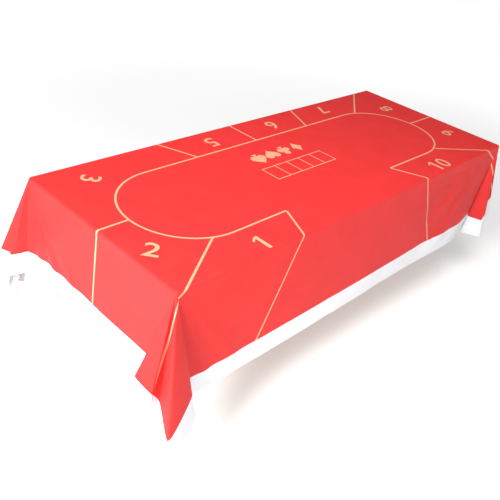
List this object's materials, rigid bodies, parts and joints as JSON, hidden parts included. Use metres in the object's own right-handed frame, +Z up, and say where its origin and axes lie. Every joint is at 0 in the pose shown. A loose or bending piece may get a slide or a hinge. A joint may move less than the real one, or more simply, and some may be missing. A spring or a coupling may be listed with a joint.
{
  "type": "folding poker table top",
  "caption": "Rectangular fold-in-half card table top: two framed plywood halves on three hinges with draw latches, under a draped red printed layout cloth.",
  "frame": {"origin": "under the middle of the fold, on the plane of the rubber feet's lower faces, where a base or table carries the top", "axes": "+X along the long side, from the left end to the right end; +Y from the dealer's front edge to the back edge; +Z up"},
  "size_m": [2.167, 1.007, 0.591],
  "materials": {
    "cloth": "smooth printed polyester, slight sheen",
    "plywood": "sanded birch plywood, satin lacquer",
    "pine": "planed softwood",
    "zinc": "zinc plated steel",
    "screw": "zinc plated steel, a little darker",
    "rubber": "black moulded rubber",
    "plastic": "black moulded nylon"
  },
  "bodies": {
    "left_half": {"back_latch_base": "zinc", "back_latch_pin": "screw", "front_latch_base": "zinc", "front_latch_pin": "screw", "handle_grip": "plastic", "handle_left_post": "plastic", "handle_right_post": "plastic", "hinge_1_left_back_screw": "screw", "hinge_1_left_front_screw": "screw", "hinge_1_left_leaf": "zinc", "hinge_1_pin": "zinc", "hinge_2_left_back_screw": "screw", "hinge_2_left_front_screw": "screw", "hinge_2_left_leaf": "zinc", "hinge_2_pin": "zinc", "hinge_3_left_back_screw": "screw", "hinge_3_left_front_screw": "screw", "hinge_3_left_leaf": "zinc", "hinge_3_pin": "zinc", "left_back_corner_block": "plywood", "left_back_inner_foot": "rubber", "left_back_outer_foot": "rubber", "left_back_rail": "pine", "left_batten": "pine", "left_deck": "plywood", "left_end_rail": "pine", "left_fold_rail": "pine", "left_front_corner_block": "plywood", "left_front_inner_foot": "rubber", "left_front_outer_foot": "rubber", "left_front_rail": "pine"},
    "right_half": {"back_latch_catch": "zinc", "front_latch_catch": "zinc", "hinge_1_right_back_screw": "screw", "hinge_1_right_front_screw": "screw", "hinge_1_right_leaf": "zinc", "hinge_2_right_back_screw": "screw", "hinge_2_right_front_screw": "screw", "hinge_2_right_leaf": "zinc", "hinge_3_right_back_screw": "screw", "hinge_3_right_front_screw": "screw", "hinge_3_right_leaf": "zinc", "right_back_corner_block": "plywood", "right_back_inner_foot": "rubber", "right_back_outer_foot": "rubber", "right_back_rail": "pine", "right_batten": "pine", "right_deck": "plywood", "right_end_rail": "pine", "right_fold_rail": "pine", "right_front_corner_block": "plywood", "right_front_inner_foot": "rubber", "right_front_outer_foot": "rubber", "right_front_rail": "pine"},
    "layout_cloth": {"layout_cloth": "cloth"},
    "front_lever": {"front_latch_lever": "zinc"},
    "front_loop": {"front_latch_loop": "zinc"},
    "back_lever": {"back_latch_lever": "zinc"},
    "back_loop": {"back_latch_loop": "zinc"}
  },
  "joints": [
    {"name": "fold", "type": "hinge", "parent": "left_half", "child": "right_half", "pos_m": [0, 0, 0.0044], "axis": [0, 1, 0], "range_deg": [0, 180]},
    {"name": "cloth_lift", "type": "slide", "parent": "left_half", "child": "layout_cloth", "axis": [0, 0, 1], "range_m": [0, 0.68]},
    {"name": "front_lever_swing", "type": "hinge", "parent": "left_half", "child": "front_lever", "pos_m": [-0.929, -0.2, 0.019], "axis": [0, -1, 0], "range_deg": [0, 150]},
    {"name": "front_loop_swing", "type": "hinge", "parent": "front_lever", "child": "front_loop", "pos_m": [-0.933, -0.2, 0.025], "axis": [0, -1, 0], "range_deg": [-150, 0]},
    {"name": "back_lever_swing", "type": "hinge", "parent": "left_half", "child": "back_lever", "pos_m": [-0.929, 0.2, 0.019], "axis": [0, -1, 0], "range_deg": [0, 150]},
    {"name": "back_loop_swing", "type": "hinge", "parent": "back_lever", "child": "back_loop", "pos_m": [-0.933, 0.2, 0.025], "axis": [0, -1, 0], "range_deg": [-150, 0]}
  ],
  "couplings": [
    {"joint": "front_loop_swing", "follows": "front_lever_swing", "ratio": -1},
    {"joint": "back_loop_swing", "follows": "back_lever_swing", "ratio": -1}
  ]
}
